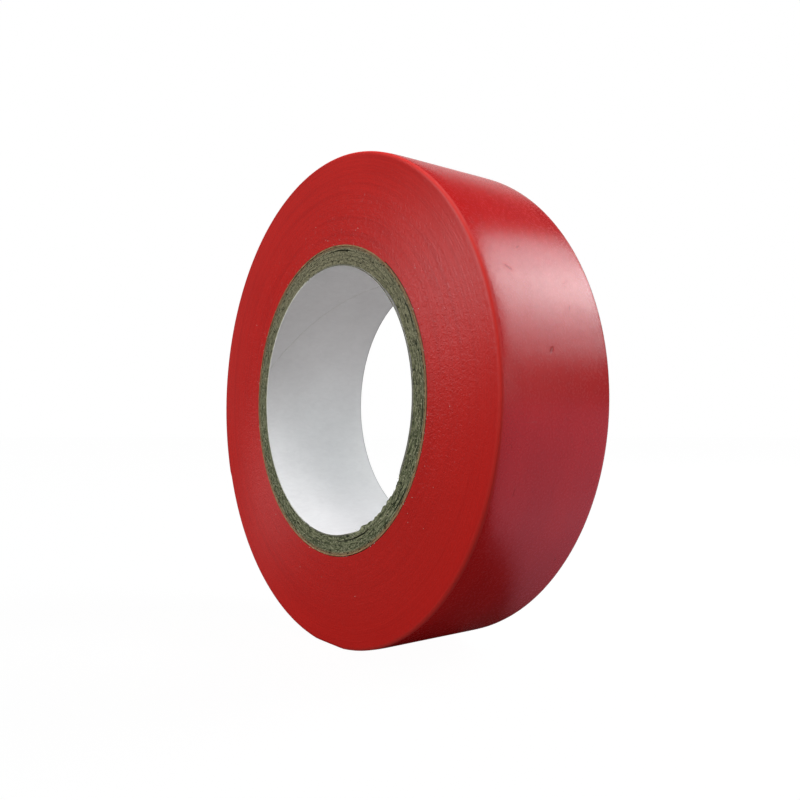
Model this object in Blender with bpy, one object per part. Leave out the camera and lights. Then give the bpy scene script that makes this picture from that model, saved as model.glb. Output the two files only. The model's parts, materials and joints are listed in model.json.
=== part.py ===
"""Electrical tape roll: red PVC tape wound on a spiral-wound cardboard core.

The roll stands upright on its rim. Its axis lies along Y, the origin is the
centre of the bore at mid width, +X is to the right and +Z is up. An angle round
the roll starts at +X and grows towards +Z.
"""

import math

import bmesh
import bpy
from mathutils import Matrix, Vector

# Driving dimensions of the tape and its core, in metres
TAPE_LENGTH = 10.0
TAPE_WIDTH = 0.015
TAPE_THICKNESS = 0.00015
BORE_DIAMETER = 0.0308
CORE_DIAMETER = 0.0355

# Core build-up
PAPER_THICKNESS = 0.00015
BOARD_NAMES = ("inner", "second", "third", "outer")
GLUE_GAP = 0.0001
CORE_RECESS = 0.00005
SEAM_WIDTH = 0.0003
SEAM_LEAD = 0.061
LINER_SEAM_ANGLE = math.radians(119.5)
SEAM_STAGGER = math.radians(70.0)

# Free end of the tape, low on the left (-X) side of the roll
PEEL_ANGLE = math.radians(150.0)
FREE_ANGLE = math.radians(200.0)
END_GAP = 0.0003

# Facets round a full turn. The soft tape is pressed flat where the roll stands: the
# facet under the axis and its two neighbours are one, 5.5 mm wide and 0.14 mm deep
SEGMENTS = 96
STEP = math.tau / SEGMENTS
STANDING_ANGLE = 1.5 * math.pi

# Sizes that follow from the driving dimensions
BORE_RADIUS = BORE_DIAMETER / 2
CORE_RADIUS = CORE_DIAMETER / 2
CORE_WIDTH = TAPE_WIDTH - 2 * CORE_RECESS
WINDING_AREA = TAPE_LENGTH * TAPE_THICKNESS
ROLL_RADIUS = math.sqrt(CORE_RADIUS**2 + WINDING_AREA / math.pi)
GAP_ANGLE = END_GAP / ROLL_RADIUS
PAPER_PLIES = 2
GLUE_LINES = len(BOARD_NAMES) + PAPER_PLIES - 1
BOARD_TOTAL = CORE_RADIUS - BORE_RADIUS - PAPER_PLIES * PAPER_THICKNESS - GLUE_LINES * GLUE_GAP
BOARD_THICKNESS = BOARD_TOTAL / len(BOARD_NAMES)

# Colours in linear light
RED_TAPE = (0.42, 0.017, 0.016, 1.0)
GREY_BOARD = (0.17, 0.18, 0.12, 1.0)
KRAFT_PAPER = (0.42, 0.31, 0.20, 1.0)
WHITE_PAPER = (0.78, 0.78, 0.79, 1.0)


def clear_scene():
    """Remove every object the file starts with."""
    for item in list(bpy.data.objects):
        bpy.data.objects.remove(item)


def make_material(name, colour, roughness, specular=0.5):
    """A plain Principled material, non-metallic."""
    material = bpy.data.materials.new(name)
    material.use_nodes = True
    shader = material.node_tree.nodes["Principled BSDF"]
    shader.inputs["Base Color"].default_value = colour
    shader.inputs["Roughness"].default_value = roughness
    shader.inputs["Metallic"].default_value = 0.0
    shader.inputs["Specular IOR Level"].default_value = specular
    return material


def polar(radius, angle, y=0.0):
    """The point at this radius and angle round the Y axis."""
    return (radius * math.cos(angle), y, radius * math.sin(angle))


def add_object(name, mesh_data, material=None):
    """Link a finished bmesh to the scene as a smooth-shaded object with sharp edges kept."""
    bmesh.ops.recalc_face_normals(mesh_data, faces=mesh_data.faces)
    mesh = bpy.data.meshes.new(name)
    mesh_data.to_mesh(mesh)
    mesh_data.free()
    mesh.shade_smooth()
    mesh.set_sharp_from_angle(angle=math.radians(30.0))
    item = bpy.data.objects.new(name, mesh)
    bpy.context.scene.collection.objects.link(item)
    if material:
        mesh.materials.append(material)
    return item


def facet_corners():
    """Angles of the facets' corners round a full turn."""
    return [(index + 0.5) * STEP for index in range(SEGMENTS)]


def box_section(mesh_data, inner, outer, width, angle):
    """The four corners of a strip's cross-section at this angle round the roll."""
    corners = ((outer, -width / 2), (outer, width / 2), (inner, width / 2), (inner, -width / 2))
    return [mesh_data.verts.new(polar(radius, angle, y)) for radius, y in corners]


def tube(name, inner, outer, width, material=None):
    """A straight tube round the Y axis, centred on the origin."""
    mesh_data = bmesh.new()
    rows = []
    for angle in facet_corners():
        rows.append(box_section(mesh_data, inner, outer, width, angle))
    join_rows(mesh_data, rows, closed=True)
    return add_object(name, mesh_data, material)


def join_rows(mesh_data, rows, closed):
    """Face in the wall between each section and the next, and the ends unless it is a loop."""
    pairs = list(zip(rows, rows[1:]))
    if closed:
        pairs.append((rows[-1], rows[0]))
    else:
        mesh_data.faces.new(rows[0])
        mesh_data.faces.new(rows[-1])
    for row, following in pairs:
        for side in range(len(row)):
            after = (side + 1) % len(row)
            mesh_data.faces.new((row[side], row[after], following[after], following[side]))


def subtract(item, cutter):
    """Cut one object from another; the cutter is kept as a hidden guide."""
    cutter.hide_render = True
    cutter.display_type = "WIRE"
    modifier = item.modifiers.new("cut_" + cutter.name, "BOOLEAN")
    modifier.operation = "DIFFERENCE"
    modifier.solver = "EXACT"
    modifier.object = cutter


def seam_cutter(name, inner, outer, middle_angle):
    """A thin helical blade that parts the two edges of a spiral-wound strip."""
    overshoot = 0.001
    steps = 16
    start = -CORE_WIDTH / 2 - overshoot
    rise = (CORE_WIDTH + 2 * overshoot) / steps
    half_angle = SEAM_WIDTH / (inner + outer)
    mesh_data = bmesh.new()
    rows = []
    for index in range(steps + 1):
        y = start + index * rise
        angle = middle_angle - math.tau * y / SEAM_LEAD
        section = (
            (outer, angle - half_angle),
            (outer, angle + half_angle),
            (inner, angle + half_angle),
            (inner, angle - half_angle),
        )
        rows.append([mesh_data.verts.new(polar(radius, turn, y)) for radius, turn in section])
    join_rows(mesh_data, rows, closed=False)
    return add_object(name, mesh_data)


def spiral_ply(name, inner, thickness, seam_angle, material):
    """One ply of the core: a tube whose strip edges meet along a slanting butt seam."""
    outer = inner + thickness
    ply = tube(name, inner, outer, CORE_WIDTH, material)
    clearance = 0.0003
    cutter = seam_cutter(name + "_seam", inner - clearance, outer + clearance, seam_angle)
    subtract(ply, cutter)


def build_core():
    """The liner, the board plies and the cover ply, from the bore outwards."""
    white = make_material("white_liner_paper", WHITE_PAPER, 0.6)
    grey = make_material("grey_chipboard", GREY_BOARD, 0.9, 0.2)
    kraft = make_material("kraft_paper", KRAFT_PAPER, 0.8, 0.3)
    plies = [("paper_liner", PAPER_THICKNESS, white)]
    for place in BOARD_NAMES:
        plies.append(("board_ply_" + place, BOARD_THICKNESS, grey))
    plies.append(("kraft_cover_ply", PAPER_THICKNESS, kraft))
    inner = BORE_RADIUS
    for index, (name, thickness, material) in enumerate(plies):
        spiral_ply(name, inner, thickness, LINER_SEAM_ANGLE + index * SEAM_STAGGER, material)
        inner += thickness + GLUE_GAP


def rim_radius(angle):
    """Outer radius of the wound tape: it falls by one thickness just past the free end."""
    turned = (angle - FREE_ANGLE) % math.tau / math.tau
    return ROLL_RADIUS - TAPE_THICKNESS * (1.0 - turned)


def angles_between(start, end):
    """The two given angles, with the facets' corners between them but not those pressed flat."""
    margin = STEP / 4
    angles = [start]
    for lap in range(2):
        for corner in facet_corners():
            angle = corner + lap * math.tau
            pressed_flat = abs(corner - STANDING_ANGLE) < STEP
            if start + margin < angle < end - margin and not pressed_flat:
                angles.append(angle)
    return angles + [end]


def extrude_outline(name, outline, material=None):
    """A solid centred on the XZ plane whose front face has this outline."""
    mesh_data = bmesh.new()
    face = mesh_data.faces.new([mesh_data.verts.new(point) for point in outline])
    swept = bmesh.ops.extrude_face_region(mesh_data, geom=[face])
    moved = [item for item in swept["geom"] if isinstance(item, bmesh.types.BMVert)]
    bmesh.ops.translate(mesh_data, verts=moved, vec=(0.0, -2 * outline[0][1], 0.0))
    return add_object(name, mesh_data, material)


def build_winding(material):
    """All the turns of the tape but its free end, with the shallow seat that the end lies in."""
    front = -TAPE_WIDTH / 2
    last_turn_stop = PEEL_ANGLE - GAP_ANGLE / 2
    seat_stop = FREE_ANGLE + GAP_ANGLE
    outline = []
    for angle in angles_between(seat_stop, last_turn_stop + math.tau):
        outline.append(polar(rim_radius(angle), angle, front))
    for angle in angles_between(last_turn_stop, seat_stop):
        seat_radius = rim_radius(min(angle, FREE_ANGLE - GAP_ANGLE)) - TAPE_THICKNESS - END_GAP
        outline.append(polar(seat_radius, angle, front))
    winding = extrude_outline("tape_winding", outline, material)
    hole = [polar(CORE_RADIUS + GLUE_GAP, corner, 2 * front) for corner in facet_corners()]
    subtract(winding, extrude_outline("core_space", hole))


def build_tape_end(material):
    """The free end: a curved strip whose origin is on the line it peels about."""
    rows = []
    mesh_data = bmesh.new()
    for angle in angles_between(PEEL_ANGLE + GAP_ANGLE / 2, FREE_ANGLE):
        outer = rim_radius(min(angle, FREE_ANGLE - GAP_ANGLE))
        inner = outer - TAPE_THICKNESS
        rows.append(box_section(mesh_data, inner, outer, TAPE_WIDTH, angle))
    join_rows(mesh_data, rows, closed=False)
    strip = add_object("tape_end", mesh_data, material)
    peel_line = Vector(polar(rim_radius(PEEL_ANGLE) - TAPE_THICKNESS / 2, PEEL_ANGLE))
    strip.data.transform(Matrix.Translation(-peel_line))
    strip.location = peel_line


def main():
    clear_scene()
    build_core()
    red = make_material("red_pvc_tape", RED_TAPE, 0.35)
    build_winding(red)
    build_tape_end(red)


main()
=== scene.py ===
"""Looks of a roll of electrical tape: red PVC tape wound on a spiral-wound cardboard core.

Lengths are in metres. The roll's axis lies along Y, and an angle round it starts at +X
and grows towards +Z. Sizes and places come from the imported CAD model.
"""

import json
import math
import random

import bmesh
import bpy
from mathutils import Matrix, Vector, noise


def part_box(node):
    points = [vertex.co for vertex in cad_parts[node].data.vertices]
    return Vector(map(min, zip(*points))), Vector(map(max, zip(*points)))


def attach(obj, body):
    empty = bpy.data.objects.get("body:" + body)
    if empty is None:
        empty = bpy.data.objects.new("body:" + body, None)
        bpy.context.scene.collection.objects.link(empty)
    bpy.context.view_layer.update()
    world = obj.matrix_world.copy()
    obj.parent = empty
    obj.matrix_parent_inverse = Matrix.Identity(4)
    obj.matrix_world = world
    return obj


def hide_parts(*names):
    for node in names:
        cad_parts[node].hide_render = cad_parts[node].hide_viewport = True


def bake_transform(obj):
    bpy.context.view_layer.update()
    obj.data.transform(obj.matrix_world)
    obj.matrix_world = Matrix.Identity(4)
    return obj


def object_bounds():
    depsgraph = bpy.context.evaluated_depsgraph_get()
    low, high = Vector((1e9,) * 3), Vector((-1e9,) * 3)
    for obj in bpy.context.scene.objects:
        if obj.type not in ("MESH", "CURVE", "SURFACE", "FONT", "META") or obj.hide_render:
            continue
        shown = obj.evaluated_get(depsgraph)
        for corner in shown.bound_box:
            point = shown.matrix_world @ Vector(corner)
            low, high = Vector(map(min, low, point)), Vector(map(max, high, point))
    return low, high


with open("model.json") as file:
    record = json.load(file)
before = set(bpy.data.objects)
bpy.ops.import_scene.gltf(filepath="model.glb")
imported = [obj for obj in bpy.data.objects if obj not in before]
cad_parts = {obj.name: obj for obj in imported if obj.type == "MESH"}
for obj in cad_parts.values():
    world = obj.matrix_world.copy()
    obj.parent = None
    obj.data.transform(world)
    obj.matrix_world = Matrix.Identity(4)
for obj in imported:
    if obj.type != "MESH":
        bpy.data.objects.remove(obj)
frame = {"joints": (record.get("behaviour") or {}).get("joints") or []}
cad_low, cad_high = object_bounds()

MM = 0.001

# The tape and its core, as the CAD has them
TAPE_THICKNESS = 0.15 * MM
PAPER_THICKNESS = 0.15 * MM
SEAM_LEAD = 61.0 * MM
LINER_SEAM_ANGLE = math.radians(119.5)
SEAM_STAGGER = math.radians(70.0)
BOARD_NODES = ("board_ply_inner", "board_ply_second", "board_ply_third", "board_ply_outer")

# Places of the plies, counted from the bore
LINER_PLACE = 0
FIRST_BOARD_PLACE = 1
COVER_PLACE = FIRST_BOARD_PLACE + len(BOARD_NODES)

# How finely the pieces are drawn
TURN_STEPS = 240
FACE_COLUMNS = 11
CORE_STEPS = 480
WALL_ROWS = 22
END_ROWS = 6
FLAKE_CORNERS = 5
FIBRE_JOINTS = 5
FIBRE_CORNERS = 5

# Length given to the stored direction round the roll, so that it compares with millimetres
AROUND_SCALE = 20.0

# The cut edges of the tape on the side faces of the roll
GROOVE_DEPTH = 0.018 * MM
TURN_JITTER = 0.0015 * MM
PITCH_JITTER = 0.045 * MM
BAND_DEPTH = 0.010 * MM
WOBBLE_DEPTH = 0.020 * MM

# The unevenness of the tape's wide face
FACE_SWELL = 0.016 * MM
FACE_RIPPLE = 0.003 * MM

# The corner between a side face and the rim, rounded by handling. The rim sags beside it, on the
# front (-1) more than at the back (1), and it is pressed flat where the roll stands
CORNER_REACH = 0.34 * MM
CORNER_SHARE = 0.293
SAG_REACH = 2.4 * MM
SAG_DEPTH = {-1.0: 0.12 * MM, 1.0: 0.03 * MM}
FLAT_REACH = 2.5 * MM
FIRST_INSET = 0.13 * MM

# The free end of the tape
END_CLEARANCE = 0.012 * MM
END_LIFT = 0.22 * MM
END_LIFT_LENGTH = 4.0 * MM
END_SLANT = 0.25 * MM
END_SLANT_LENGTH = 3.0 * MM
END_RAGGEDNESS = 0.06 * MM

# The core's plies
PLY_GAP = 0.03 * MM
SPLIT_GAP = 0.15 * MM
BUTT_GAP = 0.06 * MM
BOARD_FIBRE_DEPTH = 0.12 * MM
PAPER_FIBRE_DEPTH = 0.03 * MM
COVER_PROUD = 0.03 * MM

# The front edge of the bore was broken by the cut. Each pair is a start and a stop in degrees
CHIPPED_ARC = (283.0, 332.0)
BURRED_ARC = (285.0, 331.0)
FRAYED_ARC = (286.0, 330.0)
BURR_WIDTH = 0.50 * MM
BURR_REACH = 0.55 * MM
LOOSE_FIBRES = 46

# Crumbs of paper on the two side faces
CRUMBS = 120
CRUMB_SINK = 0.02 * MM
CRUMB_HEIGHT = 0.045 * MM

# Painted glow for the light that comes through the thin edge of the tape, how much of it is painted
# on the corner, and how much rougher the rounded corner is than the faces on both sides of it
EDGE_GLOW_RED = (0.85, 0.030, 0.016)
EDGE_GLOW_SHARE = 0.6
EDGE_ROUGHNESS = 0.65

# Colours of paper and fibres, the darker and the lighter
WHITE_PAPER = ((0.86, 0.84, 0.832), (0.92, 0.90, 0.892))
WHITE_PAPER_END = ((0.11, 0.115, 0.080), (0.28, 0.28, 0.21))
KRAFT_PAPER = ((0.36, 0.24, 0.14), (0.46, 0.33, 0.21))
KRAFT_PAPER_END = ((0.17, 0.105, 0.045), (0.48, 0.32, 0.16))
CRUMB_PAPER = ((0.60, 0.50, 0.44), (0.85, 0.80, 0.75))
LOOSE_FIBRE = ((0.22, 0.24, 0.15), (0.62, 0.62, 0.48))
BOARD_FIBRE = ((0.052, 0.068, 0.028), (0.26, 0.275, 0.155))
BOARD_WALL = ((0.10, 0.11, 0.07), (0.22, 0.23, 0.16))
PALE_FIBRE = (0.50, 0.49, 0.33)
WARM_BOARD = (0.30, 0.26, 0.165)
GLUED_BOARD = (0.30, 0.15, 0.075)
DARK_FLECK = (0.018, 0.022, 0.011)
FRAYED_PAPER = (0.72, 0.72, 0.62)

# Small marks on the rim: angle round the roll, place along its width, tilt, half length, half width
RIM_MARKS = (
    (math.radians(24.3), -4.1 * MM, math.radians(-62.0), 0.62 * MM, 0.10 * MM),
    (math.radians(29.9), -1.6 * MM, math.radians(55.0), 0.34 * MM, 0.08 * MM),
    (math.radians(8.0), -0.7 * MM, math.radians(38.0), 0.42 * MM, 0.20 * MM),
    (math.radians(17.0), 2.9 * MM, math.radians(20.0), 0.30 * MM, 0.07 * MM),
)

# The studio
LIGHT_DISTANCE = 0.60
NEUTRAL = (1.0, 1.0, 1.0)
COOL = (0.86, 1.00, 1.05)
PINK = (1.00, 0.98, 1.03)
FLOOR_RADIUS = 4.0
FLOOR_CORNERS = 96

# Levels of the sky that lights the roll, at these shares of the way from straight down to straight up
SKY_PLACES = (0.0, 0.35, 0.65, 1.0)
SKY_LEVELS = (0.26, 0.27, 0.13, 0.06)

# The camera: its place in roll radii, the way it looks, and its sensor and lens in millimetres
CAMERA_PLACE = Vector((2.7238, -1.9646, -0.1310))
CAMERA_AIM = Vector((-0.79657, 0.60316, 0.04089))
CAMERA_SENSOR = 36.0
CAMERA_LENS = 35.18

randomness = random.Random(7)


def node_radius(node):
    """Half the width of a round CAD node."""
    low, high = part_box(node)
    return (high.x - low.x) / 2


tape_low, tape_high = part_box("tape_winding")
end_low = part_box("tape_end")[0]
peel_line = Vector(frame["joints"][0]["pos_m"])

HALF_WIDTH = (tape_high.y - tape_low.y) / 2
CORE_HALF_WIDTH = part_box("paper_liner")[1].y
CORE_RADIUS = node_radius("kraft_cover_ply")
BORE_RADIUS = node_radius("paper_liner") - PAPER_THICKNESS
PEEL_ANGLE = math.atan2(peel_line.z, peel_line.x)
PEEL_RADIUS = math.hypot(peel_line.x, peel_line.z) + TAPE_THICKNESS / 2
FREE_ANGLE = math.pi + math.asin(-end_low.z / PEEL_RADIUS)
FLOOR_Z = cad_low.z

# The spiral runs in even steps. A step's section has a line under it and a line over it
TURNS = (PEEL_RADIUS - CORE_RADIUS) / TAPE_THICKNESS
WOUND_STEPS = round((TURNS - 1.0) * TURN_STEPS)
FREE_STEPS = round((FREE_ANGLE - PEEL_ANGLE) / math.tau * TURN_STEPS)
LAST_LINE = WOUND_STEPS + TURN_STEPS + FREE_STEPS
ROLL_RADIUS = PEEL_RADIUS + TAPE_THICKNESS * FREE_STEPS / TURN_STEPS


# ------------------------------------------------------------------ shared shape helpers


def polar(radius, angle, y):
    """The point at this radius and angle round the roll's axis."""
    return Vector((radius * math.cos(angle), y, radius * math.sin(angle)))


def smoothstep(value):
    """A smooth rise from 0 to 1 while the value goes from 0 to 1."""
    value = min(1.0, max(0.0, value))
    return value * value * (3.0 - 2.0 * value)


def soft_noise(*place):
    """Smooth noise from 0 to 1."""
    return min(1.0, max(0.0, 0.5 + 0.5 * noise.noise(Vector(place))))


class MeshData:
    """Points and faces gathered for one piece. Each face has a material's number."""

    def __init__(self):
        self.points = []
        self.faces = []
        self.numbers = []

    def point(self, place):
        self.points.append(tuple(place))
        return len(self.points) - 1

    def face(self, corners, number=0):
        self.faces.append(tuple(corners))
        self.numbers.append(number)

    def strip(self, row, following, number=0, closed=False):
        """Faces between two rows of the same length."""
        last = len(row) if closed else len(row) - 1
        for index in range(last):
            after = (index + 1) % len(row)
            self.face((row[index], row[after], following[after], following[index]), number)


def make_piece(name, data, materials, sharp_degrees=32.0):
    """The mesh object, with its points' places at rest stored for its materials to read."""
    mesh = bpy.data.meshes.new(name)
    mesh.from_pydata(data.points, [], data.faces)
    mesh.polygons.foreach_set("material_index", data.numbers)
    builder = bmesh.new()
    builder.from_mesh(mesh)
    bmesh.ops.recalc_face_normals(builder, faces=builder.faces)
    builder.to_mesh(mesh)
    builder.free()
    mesh.shade_smooth()
    mesh.set_sharp_from_angle(angle=math.radians(sharp_degrees))
    for material in materials:
        mesh.materials.append(material)
    place = mesh.attributes.new("place", "FLOAT_VECTOR", "POINT")
    around = mesh.attributes.new("around", "FLOAT_VECTOR", "POINT")
    places = []
    arounds = []
    for x, y, z in data.points:
        radius = max(math.hypot(x, z), MM)
        places.extend((x / MM, y / MM, z / MM))
        arounds.extend((AROUND_SCALE * x / radius, radius / MM, AROUND_SCALE * z / radius))
    place.data.foreach_set("vector", places)
    around.data.foreach_set("vector", arounds)
    piece = bpy.data.objects.new(name, mesh)
    bpy.context.scene.collection.objects.link(piece)
    return piece


# ------------------------------------------------------------------ the tape


def step_angle(step):
    """Angle of a step of the winding. The last wound step is on the peel line."""
    return PEEL_ANGLE + (step - WOUND_STEPS) * math.tau / TURN_STEPS


def line_radius(step):
    """Radius of the line under a step, which is also the line over the turn beneath."""
    return PEEL_RADIUS + (step - WOUND_STEPS - TURN_STEPS) * TAPE_THICKNESS / TURN_STEPS


def surface_line(step):
    """The outermost line at this step's angle, the free end's own included."""
    return LAST_LINE - (LAST_LINE - step) % TURN_STEPS


def line_depth(step):
    """How deep under the roll's outer surface a line lies. The inner turns are uneven."""
    covered = (surface_line(step) - step) / TURN_STEPS
    uneven = PITCH_JITTER * (share_at(turn_pitch, step) - 0.5) * smoothstep(covered - 1.0)
    return covered * TAPE_THICKNESS + uneven * smoothstep(step / TURN_STEPS)


def pressed(step, depth, inset, sign):
    """A point of the roll this deep under its rim and this far in from a side face.

    The corner is rounded, the rim sags a little beside it, and the rim is flat where it stands.
    """
    over_rim = max(0.0, 1.0 - depth / CORNER_REACH)
    over_side = max(0.0, 1.0 - inset / CORNER_REACH)
    round_off = CORNER_SHARE * CORNER_REACH
    in_from_side = max(0.0, 1.0 - inset / SAG_REACH)
    in_from_rim = max(0.0, 1.0 - depth / SAG_REACH)
    sag = SAG_DEPTH[sign] * in_from_side**3 * in_from_rim
    surface_radius = line_radius(surface_line(step))
    radius = surface_radius - depth - round_off * over_side**2 * over_rim - sag
    y = sign * (HALF_WIDTH - inset - round_off * over_rim**2 * over_side)
    angle = step_angle(step)
    point = polar(radius, angle, y)
    overlap = max(0.0, FLOOR_Z - surface_radius * math.sin(angle))
    point.z += overlap * max(0.0, 1.0 - (surface_radius - radius) / FLAT_REACH)
    return point


def random_turns():
    """One random share from 0 to 1 for each turn of the tape."""
    return [randomness.random() for _ in range(math.ceil(TURNS) + 4)]


turn_recess = (random_turns(), random_turns())
turn_groove = (random_turns(), random_turns())
turn_pitch = random_turns()


def share_at(shares, step):
    """A turn's random share, changing smoothly from each turn to the next."""
    turn = max(0.0, step / TURN_STEPS)
    whole = int(turn)
    return shares[whole] + (shares[whole + 1] - shares[whole]) * smoothstep(turn - whole)


def edge_recess(step, side):
    """How far the cut edge of the tape lies inside the roll's side plane."""
    angle = step_angle(step)
    turn = step / TURN_STEPS
    jitter = TURN_JITTER * share_at(turn_recess[side], step)
    band = BAND_DEPTH * soft_noise(turn * 0.08, 3.0 + side * 9.0, 0.0)
    wobble = WOBBLE_DEPTH * soft_noise(1.2 * math.cos(angle), 1.2 * math.sin(angle), turn * 0.05 + side)
    return jitter + band + wobble


def line_recess(step, side):
    """How far a groove between two turns lies inside the roll's side plane."""
    recess = edge_recess(max(0, step - TURN_STEPS), side)
    if step < WOUND_STEPS + FREE_STEPS:
        recess = max(recess, edge_recess(step, side))
    outward = step / (TURNS * TURN_STEPS)
    depth = GROOVE_DEPTH * (1.5 - 0.9 * outward)
    return recess + depth * (0.9 + 0.2 * share_at(turn_groove[side], step))


def face_insets():
    """Distances in from the tape's edge, closer together near it, with the sign of each side."""
    insets = []
    for column in range(FACE_COLUMNS):
        insets.append(FIRST_INSET + (HALF_WIDTH - FIRST_INSET) * (column / FACE_COLUMNS) ** 2)
    front = [(inset, -1.0) for inset in insets]
    back = [(inset, 1.0) for inset in reversed(insets)]
    return front + [(HALF_WIDTH, 1.0)] + back


def face_dent(step, inset, sign):
    """The slight unevenness of the tape's wide face."""
    place = polar(line_radius(step), step_angle(step), sign * (HALF_WIDTH - inset)) / MM
    broad = soft_noise(*(place * 0.16))
    small = soft_noise(*(place * 0.7))
    return FACE_SWELL * broad + FACE_RIPPLE * small


def add_lines(data, steps):
    """The line under each of these steps, on the front and the back edge of the tape."""
    rows = []
    for side, sign in enumerate((-1.0, 1.0)):
        row = []
        for step in steps:
            place = pressed(step, line_depth(step), line_recess(step, side), sign)
            row.append(data.point(place))
        rows.append(row)
    return rows


def add_crests(data, steps):
    """The proud middle of the tape's cut edge at each step, front and back."""
    rows = []
    for side, sign in enumerate((-1.0, 1.0)):
        row = []
        for step in steps:
            depth = (line_depth(step) + line_depth(step + TURN_STEPS)) / 2
            row.append(data.point(pressed(step, depth, edge_recess(step, side), sign)))
        rows.append(row)
    return rows


def add_face_row(data, step, depth):
    """A row of points across the tape's wide face, without those on its edges."""
    row = []
    for inset, sign in face_insets():
        place = pressed(step, depth + face_dent(step, inset, sign), inset, sign)
        row.append(data.point(place))
    return row


def build_winding(edge_material, face_material):
    """All the turns of the tape but the free end, as one closed spiral solid."""
    data = MeshData()
    lines = add_lines(data, range(WOUND_STEPS + TURN_STEPS + 1))
    crests = add_crests(data, range(WOUND_STEPS + 1))
    for line, crest in zip(lines, crests):
        for step in range(WOUND_STEPS):
            over = step + TURN_STEPS
            data.face((line[step], line[step + 1], crest[step + 1], crest[step]))
            data.face((crest[step], crest[step + 1], line[over + 1], line[over]))
    front, back = lines
    rows = []
    for step in range(WOUND_STEPS, WOUND_STEPS + TURN_STEPS + 1):
        middle = add_face_row(data, step, line_depth(step) if step < LAST_LINE else 0.0)
        rows.append([front[step]] + middle + [back[step]])
    for row, following in zip(rows, rows[1:]):
        data.strip(row, following, 1)
    data.strip(rows[0], rows[-1])
    for line, crest in zip(lines, crests):
        data.face((line[WOUND_STEPS], crest[WOUND_STEPS], line[WOUND_STEPS + TURN_STEPS]))
    for step in range(TURN_STEPS):
        data.face((front[step], front[step + 1], back[step + 1], back[step]), 1)
    start = (front[0], crests[0][0], front[TURN_STEPS], back[TURN_STEPS], crests[1][0], back[0])
    data.face(start)
    winding = make_piece("wound_tape", data, (edge_material, face_material), 60.0)
    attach(winding, "roll")
    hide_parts("tape_winding")


def free_end_lift(step):
    """How far the free end has sprung away from the turn beneath."""
    left = (WOUND_STEPS + FREE_STEPS - step) * math.tau / TURN_STEPS * ROLL_RADIUS
    return END_LIFT * max(0.0, 1.0 - left / END_LIFT_LENGTH) ** 2


def build_free_end(edge_material, face_material, adhesive):
    """The free end of the tape: its own part of the spiral, sticky side down."""
    data = MeshData()
    sections = []
    for step in range(WOUND_STEPS, WOUND_STEPS + FREE_STEPS + 1):
        lift = free_end_lift(step)
        top_depth = END_CLEARANCE / 2 - lift
        under_depth = TAPE_THICKNESS - END_CLEARANCE - lift
        edges = []
        for side, sign in enumerate((-1.0, 1.0)):
            recess = edge_recess(step, side)
            line = recess + GROOVE_DEPTH * 0.7
            over = data.point(pressed(step, top_depth, line, sign))
            crest = data.point(pressed(step, TAPE_THICKNESS / 2 - lift, recess, sign))
            under = data.point(pressed(step, under_depth, line, sign))
            edges.append((over, crest, under))
        top = [edges[0][0]] + add_face_row(data, step, top_depth) + [edges[1][0]]
        bottom = [edges[0][2]] + add_face_row(data, step, under_depth) + [edges[1][2]]
        sections.append((top, bottom, edges[0][1], edges[1][1]))
    for section, following in zip(sections, sections[1:]):
        data.strip(section[0], following[0], 1)
        data.strip(section[1], following[1], 2)
        for end, crest in ((0, 2), (-1, 3)):
            for row in (0, 1):
                corners = (section[row][end], following[row][end], following[crest], section[crest])
                data.face(corners)
    for top, bottom, front_crest, back_crest in (sections[0], sections[-1]):
        data.strip(top, bottom)
        data.face((top[0], front_crest, bottom[0]))
        data.face((top[-1], back_crest, bottom[-1]))
    skew_cut(data)
    strip = make_piece("free_tape_end", data, (edge_material, face_material, adhesive), 60.0)
    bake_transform(strip)
    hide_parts("tape_end")


def skew_cut(data):
    """Turns the last millimetres of the free end a little, as hand-torn tape is never square."""
    for index, (x, y, z) in enumerate(data.points):
        angle = math.atan2(z, x) % math.tau
        left = (FREE_ANGLE - angle) * ROLL_RADIUS
        share = smoothstep(1.0 - left / END_SLANT_LENGTH)
        ripple = END_RAGGEDNESS * (soft_noise(y / MM * 0.9, 4.0, 0.0) - 0.5)
        turned = angle - share * (END_SLANT * (0.5 + y / (2 * HALF_WIDTH)) + ripple) / ROLL_RADIUS
        data.points[index] = tuple(polar(math.hypot(x, z), turned, y))


# ------------------------------------------------------------------ the core


def share_within(arc, angle, fade_in=8.0, fade_out=8.0):
    """1 inside an arc, fading to 0 at its start and its stop. Arc and fades are in degrees."""
    start, stop = arc
    degrees = math.degrees(angle) % 360.0
    return smoothstep((degrees - start) / fade_in) * smoothstep((stop - degrees) / fade_out)


def chip_depth(angle, radius):
    """How far the front edge of the bore is broken back at this place."""
    reach = share_within(CHIPPED_ARC, angle, fade_out=9.0)
    if reach <= 0.0:
        return 0.0
    ragged = soft_noise(9.0 * math.cos(angle), 9.0 * math.sin(angle), 2.0)
    steps = soft_noise(26.0 * math.cos(angle), 26.0 * math.sin(angle), 7.0)
    width = (0.16 + 0.42 * ragged + 0.12 * steps) * MM * reach
    share = max(0.0, 1.0 - (radius - BORE_RADIUS) / max(width, 0.01 * MM))
    return (0.35 + 0.6 * steps) * MM * reach * share**0.7


def burr_width(angle):
    """How far the torn front edge of the inner board ply leans into the bore."""
    reach = share_within(BURRED_ARC, angle)
    broad = soft_noise(5.0 * math.cos(angle), 5.0 * math.sin(angle), 11.0)
    teeth = soft_noise(30.0 * math.cos(angle), 30.0 * math.sin(angle), 5.0)
    return BURR_WIDTH * reach * (0.25 + 0.40 * broad + 0.35 * smoothstep((teeth - 0.25) / 0.5))


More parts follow.
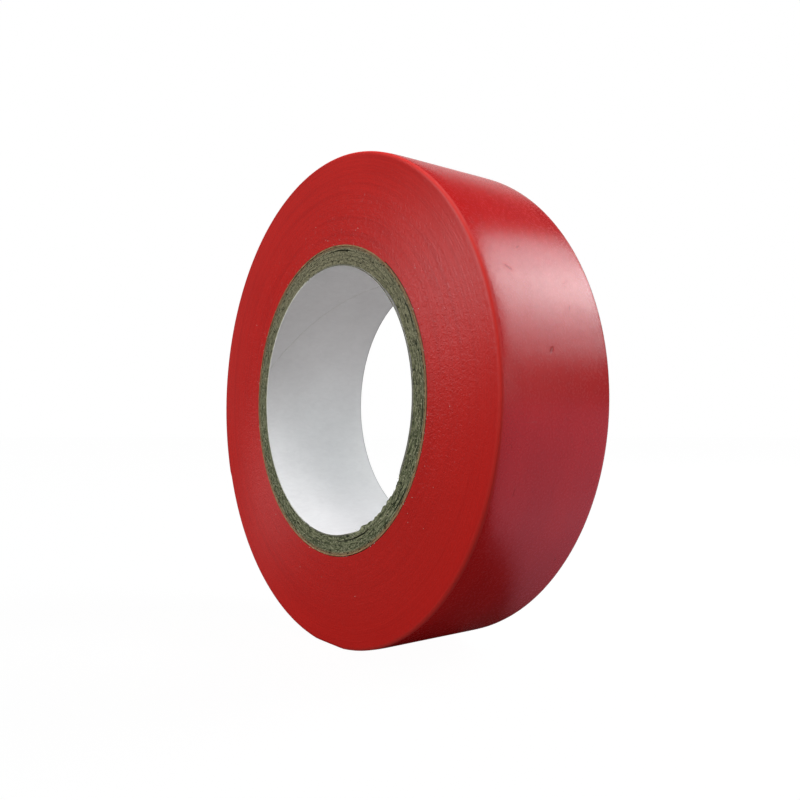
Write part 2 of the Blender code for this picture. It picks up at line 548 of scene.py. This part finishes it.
def end_fibres(angle, radius, side, depth):
    """The rough torn surface of a cut paper or board end."""
    around = 15.0 * Vector((math.cos(angle), math.sin(angle), 0.0))
    coarse = soft_noise(around.x * 0.8, around.y * 0.8, radius / MM * 2.2 + side * 40.0)
    fine = soft_noise(around.x * 2.6, around.y * 2.6, radius / MM * 7.0 + side * 40.0)
    return depth * (0.45 * coarse + 0.55 * fine)


def split_gap(angle, place):
    """The gap under a ply, wider where the boards have come apart."""
    if not FIRST_BOARD_PLACE <= place < COVER_PLACE:
        return PLY_GAP
    parted = soft_noise(3.1 * math.cos(angle), 3.1 * math.sin(angle), place * 5.3)
    return PLY_GAP + SPLIT_GAP * smoothstep((parted - 0.58) / 0.25)


def build_ply(name, node, place, inner, outer, materials, fibre_depth, proud=0.0):
    """One ply of the core: a strip wound in a spiral, whose edges meet along a slanting seam."""
    data = MeshData()
    seam_angle = LINER_SEAM_ANGLE + place * SEAM_STAGGER
    gap_angle = BUTT_GAP / inner
    half = CORE_HALF_WIDTH + proud
    sections = []
    for column in range(CORE_STEPS + 1):
        turn = gap_angle / 2 + (math.tau - gap_angle) * column / CORE_STEPS
        section = ply_section(data, seam_angle + turn, place, inner, outer, half, fibre_depth)
        sections.append(section)
    for section, following in zip(sections, sections[1:]):
        for part, number in (("front", 1), ("outer", 0), ("back", 1), ("inner", 0)):
            data.strip(section[part], following[part], number)
    for section in (sections[0], sections[-1]):
        pairs = list(zip(section["inner"][::-1], section["outer"]))
        for (inner_one, outer_one), (inner_two, outer_two) in zip(pairs[1:-2], pairs[2:-1]):
            data.face((inner_one, outer_one, outer_two, inner_two), 1)
        data.face(section["front"] + [pairs[1][1], pairs[1][0]], 1)
        data.face(section["back"] + [pairs[-2][0], pairs[-2][1]], 1)
    ply = make_piece(name, data, materials, 40.0)
    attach(ply, "roll")
    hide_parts(node)
    return ply


def ply_section(data, start_angle, place, inner, outer, half, fibre_depth):
    """A ply's outline where it crosses one helical column, as four rows of points."""

    def corner(share, y, recess):
        angle = start_angle - math.tau * y / SEAM_LEAD
        low = inner + split_gap(angle, place) - PLY_GAP
        if place == FIRST_BOARD_PLACE:
            low -= burr_width(angle) * max(0.0, 1.0 - (half + y) / BURR_REACH) ** 2
        radius = low + (outer - low) * share
        inward = -math.copysign(recess, y) if recess else 0.0
        return data.point(polar(radius, angle, y + inward))

    def end_row(sign, side):
        row = []
        for sample in range(END_ROWS + 1):
            share = sample / END_ROWS
            angle = start_angle - math.tau * sign * half / SEAM_LEAD
            radius = inner + (outer - inner) * share
            recess = end_fibres(angle, radius, side, fibre_depth)
            if side == 0:
                recess += chip_depth(angle, radius)
            row.append(corner(share, sign * half, recess))
        return row

    front = end_row(-1.0, 0)
    back = end_row(1.0, 1)[::-1]
    heights = [half * (2.0 * row / WALL_ROWS - 1.0) for row in range(1, WALL_ROWS)]
    outer_wall = [corner(1.0, y, 0.0) for y in heights]
    inner_wall = [corner(0.0, y, 0.0) for y in reversed(heights)]
    return {
        "front": front,
        "outer": [front[-1]] + outer_wall + [back[0]],
        "back": back,
        "inner": [back[-1]] + inner_wall + [front[0]],
    }


def build_core(paper, board, kraft):
    """Liner, four board plies and cover ply, from the bore outwards."""
    board_total = CORE_RADIUS - BORE_RADIUS - 2 * PAPER_THICKNESS - COVER_PLACE * PLY_GAP
    board_thickness = board_total / len(BOARD_NODES)
    inner = BORE_RADIUS
    outer = inner + PAPER_THICKNESS
    liner = build_ply("bore_liner", "paper_liner", LINER_PLACE, inner, outer, paper, PAPER_FIBRE_DEPTH)
    for place, node in enumerate(BOARD_NODES, FIRST_BOARD_PLACE):
        name = node.replace("board_ply", "chipboard")
        inner = outer + PLY_GAP
        outer = inner + board_thickness
        ply = build_ply(name, node, place, inner, outer, board, BOARD_FIBRE_DEPTH)
    inner = outer + PLY_GAP
    outer = CORE_RADIUS
    depths = (PAPER_FIBRE_DEPTH, COVER_PROUD)
    cover = build_ply("kraft_cover", "kraft_cover_ply", COVER_PLACE, inner, outer, kraft, *depths)


def build_dust(material):
    """Crumbs of paper that the cut left on the side faces, most of them beside the core."""
    data = MeshData()
    for number in range(CRUMBS):
        angle = randomness.uniform(0.0, math.tau)
        scatter = randomness.random() ** 5
        radius = CORE_RADIUS + (0.10 + 7.0 * scatter) * MM
        sign = -1.0 if number % 2 else 1.0
        centre = polar(radius, angle, sign * (HALF_WIDTH - CRUMB_SINK))
        add_flake(data, centre, randomness.uniform(0.025, 0.065) * MM, sign)
    dust = make_piece("paper_dust", data, (material,))
    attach(dust, "roll")


def add_flake(data, centre, size, sign):
    """A small crumpled crumb: two uneven fans on a ring of corners."""
    ring = []
    for corner in range(FLAKE_CORNERS):
        turn = math.tau * (corner + randomness.uniform(-0.3, 0.3)) / FLAKE_CORNERS
        reach = size * randomness.uniform(0.6, 1.3)
        offset = Vector((reach * math.cos(turn), 0.0, reach * math.sin(turn)))
        ring.append(data.point(centre + offset))
    top = data.point(centre + Vector((0.0, sign * min(size * 0.7, CRUMB_HEIGHT), 0.0)))
    bottom = data.point(centre - Vector((0.0, sign * size * 0.5, 0.0)))
    for corner in range(FLAKE_CORNERS):
        after = (corner + 1) % FLAKE_CORNERS
        data.face((ring[corner], ring[after], top))
        data.face((ring[after], ring[corner], bottom))


def build_fibres(material):
    """Loose fibres that stand up where the edge of the bore is broken."""
    data = MeshData()
    root_depth = 0.03 * MM
    for _ in range(LOOSE_FIBRES):
        angle = math.radians(randomness.uniform(*FRAYED_ARC))
        radius = BORE_RADIUS + randomness.uniform(0.1, 0.75) * MM
        sink = chip_depth(angle, radius)
        root = polar(radius, angle, -CORE_HALF_WIDTH + sink + root_depth)
        add_fibre(data, root, angle)
    fibres = make_piece("torn_fibres", data, (material,))
    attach(fibres, "roll")


def add_fibre(data, root, angle):
    """One bent fibre that starts in the board and ends above it or in the bore."""
    length = randomness.uniform(0.2, 0.5) * MM
    thickness = randomness.uniform(0.010, 0.030) * MM
    inward = Vector((-math.cos(angle), 0.0, -math.sin(angle)))
    along = Vector((-math.sin(angle), 0.0, math.cos(angle))) * randomness.uniform(-1.0, 1.0)
    out = Vector((0.0, -randomness.uniform(0.0, 0.25), 0.0))
    heading = (inward * randomness.uniform(0.1, 0.6) + along + out).normalized()
    curl = Vector([randomness.uniform(-0.5, 0.5) for _ in range(3)])
    rows = []
    for joint in range(FIBRE_JOINTS + 1):
        share = joint / FIBRE_JOINTS
        middle = root + heading * (length * share) + curl * (length * share**2 * 0.6)
        middle.y = max(middle.y, -HALF_WIDTH + thickness)
        size = thickness * (1.0 - 0.6 * share)
        across = heading.orthogonal().normalized()
        other = heading.cross(across).normalized()
        row = []
        for corner in range(FIBRE_CORNERS):
            turn = math.tau * corner / FIBRE_CORNERS
            offset = across * (size * math.cos(turn)) + other * (size * math.sin(turn))
            row.append(data.point(middle + offset))
        rows.append(row)
    for row, following in zip(rows, rows[1:]):
        data.strip(row, following, closed=True)
    data.face(rows[0])
    data.face(rows[-1][::-1])


# ------------------------------------------------------------------ material helpers


def new_material(name, roughness, specular=0.5):
    """A node material and its Principled shader, with the values that stay the same all over."""
    material = bpy.data.materials.new(name)
    material.use_nodes = True
    tree = material.node_tree
    shader = tree.nodes["Principled BSDF"]
    shader.inputs["Roughness"].default_value = roughness
    shader.inputs["Specular IOR Level"].default_value = specular
    return material, tree, shader


def add_node(tree, kind, settings=None, **inputs):
    """A shader node. Each named input is a value or another node's output."""
    item = tree.nodes.new("ShaderNode" + kind)
    for name, value in (settings or {}).items():
        setattr(item, name, value)
    for name, value in inputs.items():
        socket = item.inputs[name]
        if isinstance(value, bpy.types.NodeSocket):
            tree.links.new(value, socket)
        else:
            socket.default_value = value
    return item


def coordinate(tree, name, scale):
    """A stored attribute of the piece, stretched along its three axes."""
    source = add_node(tree, "Attribute", {"attribute_name": name}).outputs["Vector"]
    return add_node(tree, "Mapping", Vector=source, Scale=scale).outputs["Vector"]


def radial_direction(tree):
    """The direction straight away from the roll's axis, along which the cut edges scatter light."""
    around = coordinate(tree, "around", (1.0, 0.0, 1.0))
    return add_node(tree, "VectorMath", {"operation": "NORMALIZE"}, Vector=around).outputs["Vector"]


def part_of(tree, name, axis):
    """One number of a stored attribute: X, Y or Z."""
    source = add_node(tree, "Attribute", {"attribute_name": name}).outputs["Vector"]
    return add_node(tree, "SeparateXYZ", Vector=source).outputs[axis]


def clouds(tree, vector, scale=1.0, detail=2.0, distortion=0.0):
    """Noise from 0 to 1 over the given coordinates."""
    inputs = {"Vector": vector, "Scale": scale, "Detail": detail, "Distortion": distortion}
    return add_node(tree, "TexNoise", **inputs).outputs["Fac"]


def spread(tree, value, low, high, new_low=0.0, new_high=1.0):
    """The value's range from low to high, stretched to a new range and clamped."""
    inputs = {"Value": value, "From Min": low, "From Max": high}
    inputs.update({"To Min": new_low, "To Max": new_high})
    return add_node(tree, "MapRange", **inputs).outputs["Result"]


def combine(tree, operation, first, second=0.0):
    """Arithmetic on one value or two."""
    item = add_node(tree, "Math", {"operation": operation})
    for socket, value in zip(item.inputs, (first, second)):
        if isinstance(value, bpy.types.NodeSocket):
            tree.links.new(value, socket)
        else:
            socket.default_value = value
    return item.outputs["Value"]


def weighed_sum(tree, share, first, second):
    """This share of the first value and the rest of the second."""
    kept = combine(tree, "MULTIPLY", first, share)
    return combine(tree, "ADD", kept, combine(tree, "MULTIPLY", second, 1.0 - share))


def reach_along(tree, vector, direction):
    """How far a vector reaches along a direction."""
    item = add_node(tree, "VectorMath", {"operation": "DOT_PRODUCT"}, Vector=vector)
    item.inputs[1].default_value = direction
    return item.outputs["Value"]


def blend_colours(tree, share, first, second):
    """A colour between two colours."""
    item = add_node(tree, "Mix", {"data_type": "RGBA"})
    for number, value in ((0, share), (6, first), (7, second)):
        socket = item.inputs[number]
        if isinstance(value, bpy.types.NodeSocket):
            tree.links.new(value, socket)
        else:
            socket.default_value = value if number == 0 else (*value, 1.0)
    return item.outputs[2]


def add_relief(tree, shader, layers):
    """Stacks bump layers, each a height from 0 to 1 and its depth in metres."""
    normal = None
    for height, depth in layers:
        bump = add_node(tree, "Bump", Height=height, Distance=depth)
        if normal:
            tree.links.new(normal, bump.inputs["Normal"])
        normal = bump.outputs["Normal"]
    tree.links.new(normal, shader.inputs["Normal"])


# ------------------------------------------------------------------ materials


def tape_side_material():
    """The slit edges of the tape turns: satin red with fine rings, streaks and wrinkles."""
    material, tree, shader = new_material("red_pvc_cut_edges", 0.40)
    shader.inputs["Anisotropic"].default_value = 0.80
    tree.links.new(radial_direction(tree), shader.inputs["Tangent"])
    core = CORE_RADIUS / MM
    rim = ROLL_RADIUS / MM
    radius = part_of(tree, "around", "Y")
    by_core = spread(tree, radius, core + 1.0, core + 8.0, 1.0, 0.35)
    outermost = spread(tree, radius, rim - 0.6, rim - 0.1)
    bands = clouds(tree, coordinate(tree, "around", (0.06, 1.5, 0.06)), 1.0, 2.0)
    streaks = clouds(tree, coordinate(tree, "around", (0.35, 9.0, 0.35)), 1.0, 2.0, 0.4)
    wrinkles = clouds(tree, coordinate(tree, "place", (3.0, 3.0, 3.0)), 1.0, 2.0, 1.2)
    wrinkles = combine(tree, "MULTIPLY", wrinkles, by_core)
    grain = clouds(tree, coordinate(tree, "place", (7.0, 7.0, 7.0)), 1.0, 3.0)
    red = tape_side_colour(tree, bands, streaks, outermost)
    tree.links.new(red, shader.inputs["Base Color"])
    roughness = spread(tree, radius, core, rim, 0.47, 0.29)
    roughness = combine(tree, "ADD", roughness, spread(tree, grain, 0.3, 0.7, -0.03, 0.03))
    rounded = combine(tree, "MULTIPLY", outermost, EDGE_ROUGHNESS)
    tree.links.new(combine(tree, "ADD", roughness, rounded), shader.inputs["Roughness"])
    layers = ((bands, 0.022 * MM), (streaks, 0.014 * MM), (wrinkles, 0.065 * MM), (grain, 0.007 * MM))
    add_relief(tree, shader, layers)
    return material


def tape_side_colour(tree, bands, streaks, outermost):
    """Red with darker streaks and bands, with painted shade low on the right, and at the rim's corner a
    painted glow on the right that turns to painted shade on the left.
    """
    rings = clouds(tree, coordinate(tree, "around", (0.05, 5.0, 0.05)), 1.0, 3.0)
    patches = clouds(tree, coordinate(tree, "place", (0.12, 0.12, 0.12)), 1.0, 3.0)
    tone = spread(tree, weighed_sum(tree, 0.6, rings, patches), 0.35, 0.65)
    red = blend_colours(tree, tone, (0.59, 0.014, 0.010), (0.67, 0.018, 0.013))
    red = blend_colours(tree, spread(tree, streaks, 0.6, 0.78, 0.0, 0.30), red, (0.44, 0.008, 0.007))
    red = blend_colours(tree, spread(tree, bands, 0.50, 0.66, 0.0, 0.35), red, (0.48, 0.009, 0.008))
    # Painted shade: darker low on the right
    low_on_right = reach_along(tree, radial_direction(tree), (0.5, 0.0, -0.866))
    painted_shade_low = spread(tree, low_on_right, 0.30, 0.95, 0.0, 0.65)
    red = blend_colours(tree, painted_shade_low, red, (0.51, 0.013, 0.009))
    # Painted light on the rounded corner: an orange-red glow on the right, painted shade on the left
    lit = spread(tree, part_of(tree, "around", "X"), -6.0, 8.0)
    corner = blend_colours(tree, lit, (0.30, 0.006, 0.006), EDGE_GLOW_RED)
    return blend_colours(tree, combine(tree, "MULTIPLY", outermost, EDGE_GLOW_SHARE), red, corner)


def mark_mask(tree, angle, y, tilt, half_length, half_width):
    """A mask of one small scratch or dent on the rim."""
    centre = polar(ROLL_RADIUS, angle, y) / MM
    onward = Vector((-math.sin(angle), 0.0, math.cos(angle)))
    along = onward * math.cos(tilt) + Vector((0.0, math.sin(tilt), 0.0))
    across = onward * -math.sin(tilt) + Vector((0.0, math.cos(tilt), 0.0))
    place = add_node(tree, "Attribute", {"attribute_name": "place"}).outputs["Vector"]
    moved = add_node(tree, "Mapping", Vector=place, Location=-centre).outputs["Vector"]
    squares = []
    for direction, half_size in ((along, half_length), (across, half_width)):
        reach = combine(tree, "ABSOLUTE", reach_along(tree, moved, direction * (MM / half_size)))
        squares.append(combine(tree, "POWER", reach, 2.0))
    return spread(tree, combine(tree, "ADD", *squares), 0.3, 1.2, 1.0, 0.0)


def rim_marks(tree):
    """A mask of all marks on the rim: short stretches of fine scratches, and the larger marks."""
    scratches = clouds(tree, coordinate(tree, "place", (0.35, 0.5, 0.35)), 1.0, 1.0, 0.6)
    from_line = combine(tree, "ABSOLUTE", combine(tree, "SUBTRACT", scratches, 0.5))
    line = spread(tree, from_line, 0.0, 0.006, 1.0, 0.0)
    where = clouds(tree, coordinate(tree, "place", (0.5, 0.5, 0.5)), 1.0, 0.0)
    marks = combine(tree, "MULTIPLY", line, spread(tree, where, 0.74, 0.80))
    for mark in RIM_MARKS:
        marks = combine(tree, "MAXIMUM", marks, mark_mask(tree, *mark))
    return marks


def tape_face_material():
    """The tape's wide face: soft glossy red PVC, slightly mottled, with a few scratches and dents, a
    painted glow along the front corner and painted shade along the back corner.
    """
    material, tree, shader = new_material("red_pvc_wide_face", 0.26)
    patches = clouds(tree, coordinate(tree, "place", (0.1, 0.2, 0.1)), 1.0, 3.0)
    mottle = clouds(tree, coordinate(tree, "place", (0.9, 1.4, 0.9)), 1.0, 3.0)
    grain = clouds(tree, coordinate(tree, "place", (4.2, 4.2, 4.2)), 1.0, 4.0)
    marks = rim_marks(tree)
    edge = HALF_WIDTH / MM
    along_axis = part_of(tree, "place", "Y")
    at_front = spread(tree, along_axis, 0.13 - edge, 0.50 - edge, 1.0, 0.0)
    painted_shade_at_back = spread(tree, along_axis, edge - 0.35, edge - 0.05, 0.0, 0.8)
    red = blend_colours(tree, spread(tree, patches, 0.35, 0.65), (0.59, 0.003, 0.004), (0.65, 0.005, 0.005))
    # Painted glow along the rounded front corner
    red = blend_colours(tree, combine(tree, "MULTIPLY", at_front, EDGE_GLOW_SHARE), red, EDGE_GLOW_RED)
    # Painted shade: a dark line along the back corner
    red = blend_colours(tree, painted_shade_at_back, red, (0.20, 0.003, 0.008))
    red = blend_colours(tree, combine(tree, "MULTIPLY", marks, 0.5), red, (0.25, 0.002, 0.003))
    tree.links.new(red, shader.inputs["Base Color"])
    roughness = spread(tree, mottle, 0.3, 0.7, 0.235, 0.27)
    roughness = combine(tree, "ADD", roughness, spread(tree, grain, 0.35, 0.65, -0.02, 0.04))
    rounded = combine(tree, "MULTIPLY", at_front, EDGE_ROUGHNESS)
    tree.links.new(combine(tree, "ADD", roughness, rounded), shader.inputs["Roughness"])
    unmarked = combine(tree, "SUBTRACT", 1.0, marks)
    add_relief(tree, shader, ((mottle, 0.012 * MM), (grain, 0.013 * MM), (unmarked, 0.030 * MM)))
    return material


def adhesive_material():
    """The tape's sticky underside: darker, glossy and finely pimpled."""
    material, tree, shader = new_material("tape_adhesive", 0.22)
    pimples = clouds(tree, coordinate(tree, "place", (4.0, 4.0, 4.0)), 1.0, 3.0)
    pulls = clouds(tree, coordinate(tree, "place", (1.4, 0.25, 1.4)), 1.0, 2.0, 0.5)
    red = blend_colours(tree, spread(tree, pulls, 0.35, 0.65), (0.30, 0.010, 0.011), (0.40, 0.016, 0.016))
    tree.links.new(red, shader.inputs["Base Color"])
    tree.links.new(spread(tree, pimples, 0.3, 0.7, 0.16, 0.32), shader.inputs["Roughness"])
    add_relief(tree, shader, ((pulls, 0.03 * MM), (pimples, 0.015 * MM)))
    return material


def board_end_material():
    """The cut end of grey-green chipboard: matted fibres with pale fluff and dark flecks.

    It is warmer towards the top, and brown where it was glued to the cover ply.
    """
    material, tree, shader = new_material("chipboard_cut_end", 0.92, 0.2)
    fibres = clouds(tree, coordinate(tree, "around", (1.0, 5.6, 1.0)), 1.0, 5.0, 0.5)
    fluff = clouds(tree, coordinate(tree, "place", (5.0, 5.0, 5.0)), 1.0, 3.0)
    flecks = clouds(tree, coordinate(tree, "around", (2.6, 6.2, 2.6)), 1.0, 1.0, 0.4)
    grey = blend_colours(tree, spread(tree, fibres, 0.38, 0.62), *BOARD_FIBRE)
    grey = blend_colours(tree, spread(tree, fluff, 0.57, 0.64, 0.0, 0.80), grey, PALE_FIBRE)
    warm = spread(tree, part_of(tree, "place", "Z"), -4.0, 16.0, 0.0, 0.45)
    grey = blend_colours(tree, warm, grey, WARM_BOARD)
    core = CORE_RADIUS / MM
    outermost = spread(tree, part_of(tree, "around", "Y"), core - 0.50, core - 0.20)
    grey = blend_colours(tree, combine(tree, "MULTIPLY", outermost, 0.65), grey, GLUED_BOARD)
    grey = blend_colours(tree, spread(tree, flecks, 0.60, 0.65, 0.0, 0.95), grey, DARK_FLECK)
    tree.links.new(grey, shader.inputs["Base Color"])
    add_relief(tree, shader, ((fibres, 0.11 * MM), (fluff, 0.07 * MM)))
    return material


def board_wall_material():
    """The flat sides of a chipboard ply, seen only in its seams and gaps."""
    material, tree, shader = new_material("chipboard_wall", 0.95, 0.2)
    fibres = clouds(tree, coordinate(tree, "place", (2.0, 2.0, 2.0)), 1.0, 4.0)
    tree.links.new(blend_colours(tree, fibres, *BOARD_WALL), shader.inputs["Base Color"])
    add_relief(tree, shader, ((fibres, 0.02 * MM),))
    return material


def paper_material(name, colours, roughness):
    """Smooth paper with faint fibres and clouds, darker along its far edge."""
    material, tree, shader = new_material(name, roughness, 0.3)
    fibres = clouds(tree, coordinate(tree, "place", (2.2, 1.1, 2.2)), 1.0, 5.0, 0.8)
    cloudiness = clouds(tree, coordinate(tree, "place", (0.25, 0.25, 0.25)), 1.0, 2.0)
    tone = spread(tree, weighed_sum(tree, 0.6, fibres, cloudiness), 0.35, 0.65)
    colour = blend_colours(tree, tone, *colours)
    edge = CORE_HALF_WIDTH / MM
    darker_edge = spread(tree, part_of(tree, "place", "Y"), edge - 0.20, edge - 0.05, 0.0, 0.6)
    darker_edge_colour = tuple(0.35 * value for value in colours[0])
    tree.links.new(blend_colours(tree, darker_edge, colour, darker_edge_colour), shader.inputs["Base Color"])
    mottled = spread(tree, fibres, 0.3, 0.7, roughness - 0.06, roughness + 0.06)
    tree.links.new(mottled, shader.inputs["Roughness"])
    add_relief(tree, shader, ((fibres, 0.006 * MM),))
    return material


def fibre_end_material(name, colours, frayed=None):
    """The cut end of paper: fuzzy, and with pale tufts on the left where it is frayed."""
    material, tree, shader = new_material(name, 0.9, 0.2)
    fibres = clouds(tree, coordinate(tree, "around", (1.2, 6.0, 1.2)), 1.0, 4.0, 0.5)
    colour = blend_colours(tree, spread(tree, fibres, 0.3, 0.7), *colours)
    if frayed:
        tufts = clouds(tree, coordinate(tree, "place", (1.5, 1.5, 1.5)), 1.0, 3.0)
        on_left = spread(tree, part_of(tree, "place", "X"), 1.0, -8.0, -0.5, 0.5)
        tufts = spread(tree, combine(tree, "ADD", tufts, on_left), 0.6, 0.8)
        colour = blend_colours(tree, tufts, colour, frayed)
    tree.links.new(colour, shader.inputs["Base Color"])
    add_relief(tree, shader, ((fibres, 0.03 * MM),))
    return material


# ------------------------------------------------------------------ floor, light and camera


def floor_material():
    """Pale floor: plain white to the camera, dark to the roll but for one patch.

    The roll mirrors that glowing patch, which lies behind it and to the right.
    """
    material, tree, shader = new_material("pale_floor", 0.8, 0.1)
    place = add_node(tree, "TexCoord").outputs["Object"]
    grey = blend_colours(tree, clouds(tree, place, 3.0, 2.0), (0.05, 0.05, 0.05), (0.07, 0.07, 0.07))
    tree.links.new(grey, shader.inputs["Base Color"])
    axes = add_node(tree, "SeparateXYZ", Vector=place).outputs
    behind = spread(tree, axes["Y"], 0.34 * ROLL_RADIUS, 0.40 * ROLL_RADIUS)
    beside = spread(tree, axes["X"], 0.35 * ROLL_RADIUS, 1.2 * ROLL_RADIUS)
    patch = combine(tree, "MULTIPLY", behind, beside)
    mirrored = blend_colours(tree, patch, (0.0, 0.0, 0.0), (1.22, 0.50, 0.67))
    seen = add_node(tree, "LightPath").outputs["Is Camera Ray"]
    glow = blend_colours(tree, seen, mirrored, (0.98, 0.98, 0.98))
    tree.links.new(glow, shader.inputs["Emission Color"])
    shader.inputs["Emission Strength"].default_value = 1.0
    return material


def build_floor():
    """A wide disc that the roll stands on. Its glow reaches the roll only as a mirror image."""
    data = MeshData()
    rim = []
    for corner in range(FLOOR_CORNERS):
        turn = math.tau * corner / FLOOR_CORNERS
        rim.append(data.point(Vector((math.cos(turn), math.sin(turn), 0.0)) * FLOOR_RADIUS))
    data.face(rim)
    mesh = bpy.data.meshes.new("floor")
    mesh.from_pydata(data.points, [], data.faces)
    mesh.materials.append(floor_material())
    floor = bpy.data.objects.new("floor", mesh)
    floor.location.z = FLOOR_Z
    floor.visible_diffuse = False
    bpy.context.scene.collection.objects.link(floor)


def add_softbox(name, azimuth, elevation, half_wide, half_high, radiance, colour):
    """A rectangular light that faces the roll and spans twice these half angles, in degrees.

    Azimuth 0 is +Y and grows towards +X. A radiance of 1 looks as bright as white paper.
    """
    turn = math.radians(azimuth)
    rise = math.radians(elevation)
    away = Vector((math.sin(turn) * math.cos(rise), math.cos(turn) * math.cos(rise), math.sin(rise)))
    light = bpy.data.lights.new(name, "AREA")
    light.shape = "RECTANGLE"
    light.size = 2.0 * LIGHT_DISTANCE * math.tan(math.radians(half_wide))
    light.size_y = 2.0 * LIGHT_DISTANCE * math.tan(math.radians(half_high))
    light.color = colour
    light.energy = radiance * math.pi * light.size * light.size_y
    lamp = bpy.data.objects.new(name, light)
    lamp.location = away * LIGHT_DISTANCE
    lamp.rotation_mode = "QUATERNION"
    lamp.rotation_quaternion = away.to_track_quat("Z", "Y")
    bpy.context.scene.collection.objects.link(lamp)
    return lamp


def keep_off_floor(lamps):
    """These lights miss the floor, so they leave no glare on it."""
    unlit = bpy.data.collections.new("unlit_floor")
    unlit.objects.link(bpy.data.objects["floor"])
    unlit.collection_objects[0].light_linking.link_state = "EXCLUDE"
    for lamp in lamps:
        lamp.light_linking.receiver_collection = unlit


def build_world():
    """White to the camera; to the roll a dim sky, brighter below the horizon than above."""
    world = bpy.data.worlds.new("studio")
    world.use_nodes = True
    tree = world.node_tree
    background = tree.nodes["Background"]
    direction = add_node(tree, "TexCoord").outputs["Generated"]
    height = add_node(tree, "SeparateXYZ", Vector=direction).outputs["Z"]
    from_below = combine(tree, "ADD", combine(tree, "MULTIPLY", height, 0.5), 0.5)
    ramp = add_node(tree, "ValToRGB", Fac=from_below)
    stops = ramp.color_ramp.elements
    for place in SKY_PLACES[1:-1]:
        stops.new(place)
    for stop, level in zip(stops, SKY_LEVELS):
        stop.color = (level, level, level, 1.0)
    seen = add_node(tree, "LightPath").outputs["Is Camera Ray"]
    colour = blend_colours(tree, seen, ramp.outputs["Color"], (1.0, 1.0, 1.0))
    tree.links.new(colour, background.inputs["Color"])
    bpy.context.scene.world = world


def build_camera():
    """A camera close to the roll, in front of it to the right and a little below its centre."""
    camera_data = bpy.data.cameras.new("camera")
    camera_data.sensor_width = CAMERA_SENSOR
    camera_data.lens = CAMERA_LENS
    camera_data.clip_start = 0.002
    camera = bpy.data.objects.new("camera", camera_data)
    camera.location = CAMERA_PLACE * ROLL_RADIUS
    camera.rotation_mode = "QUATERNION"
    camera.rotation_quaternion = CAMERA_AIM.to_track_quat("-Z", "Y")
    bpy.context.scene.collection.objects.link(camera)
    bpy.context.scene.camera = camera


def build_studio():
    build_floor()
    build_world()
    add_softbox("back_softbox", 28.0, 36.5, 15.5, 12.5, 3.9, COOL)
    add_softbox("back_centre", 27.0, 34.0, 8.0, 6.0, 3.5, NEUTRAL)
    add_softbox("back_lower", 36.0, 19.5, 12.0, 5.5, 2.3, COOL)
    off_floor = (
        add_softbox("front_key", 199.0, 23.0, 9.0, 9.0, 12.0, PINK),
        add_softbox("top_softbox", 180.0, 62.0, 20.0, 20.0, 1.8, PINK),
        add_softbox("right_softbox", 95.0, 76.0, 16.0, 16.0, 4.6, NEUTRAL),
        add_softbox("side_fill", 136.0, 10.0, 12.0, 10.0, 1.2, NEUTRAL),
        add_softbox("left_panel", -54.0, 29.0, 23.0, 12.0, 0.52, NEUTRAL),
        add_softbox("right_panel", 62.0, 7.0, 15.0, 7.0, 0.9, COOL),
    )
    keep_off_floor(off_floor)
    build_camera()
    bpy.context.scene.view_settings.view_transform = "Standard"


# ------------------------------------------------------------------ everything together


def main():
    cut_edges = tape_side_material()
    wide_face = tape_face_material()
    build_winding(cut_edges, wide_face)
    build_free_end(cut_edges, wide_face, adhesive_material())
    white = paper_material("white_paper", WHITE_PAPER, 0.65)
    white_end = fibre_end_material("white_paper_cut_end", WHITE_PAPER_END, FRAYED_PAPER)
    tan = paper_material("kraft_paper_face", KRAFT_PAPER, 0.8)
    tan_end = fibre_end_material("kraft_paper_cut_end", KRAFT_PAPER_END)
    board = (board_wall_material(), board_end_material())
    build_core((white, white_end), board, (tan, tan_end))
    build_dust(paper_material("crumb_paper", CRUMB_PAPER, 0.8))
    build_fibres(fibre_end_material("loose_fibre", LOOSE_FIBRE))
    build_studio()


main()
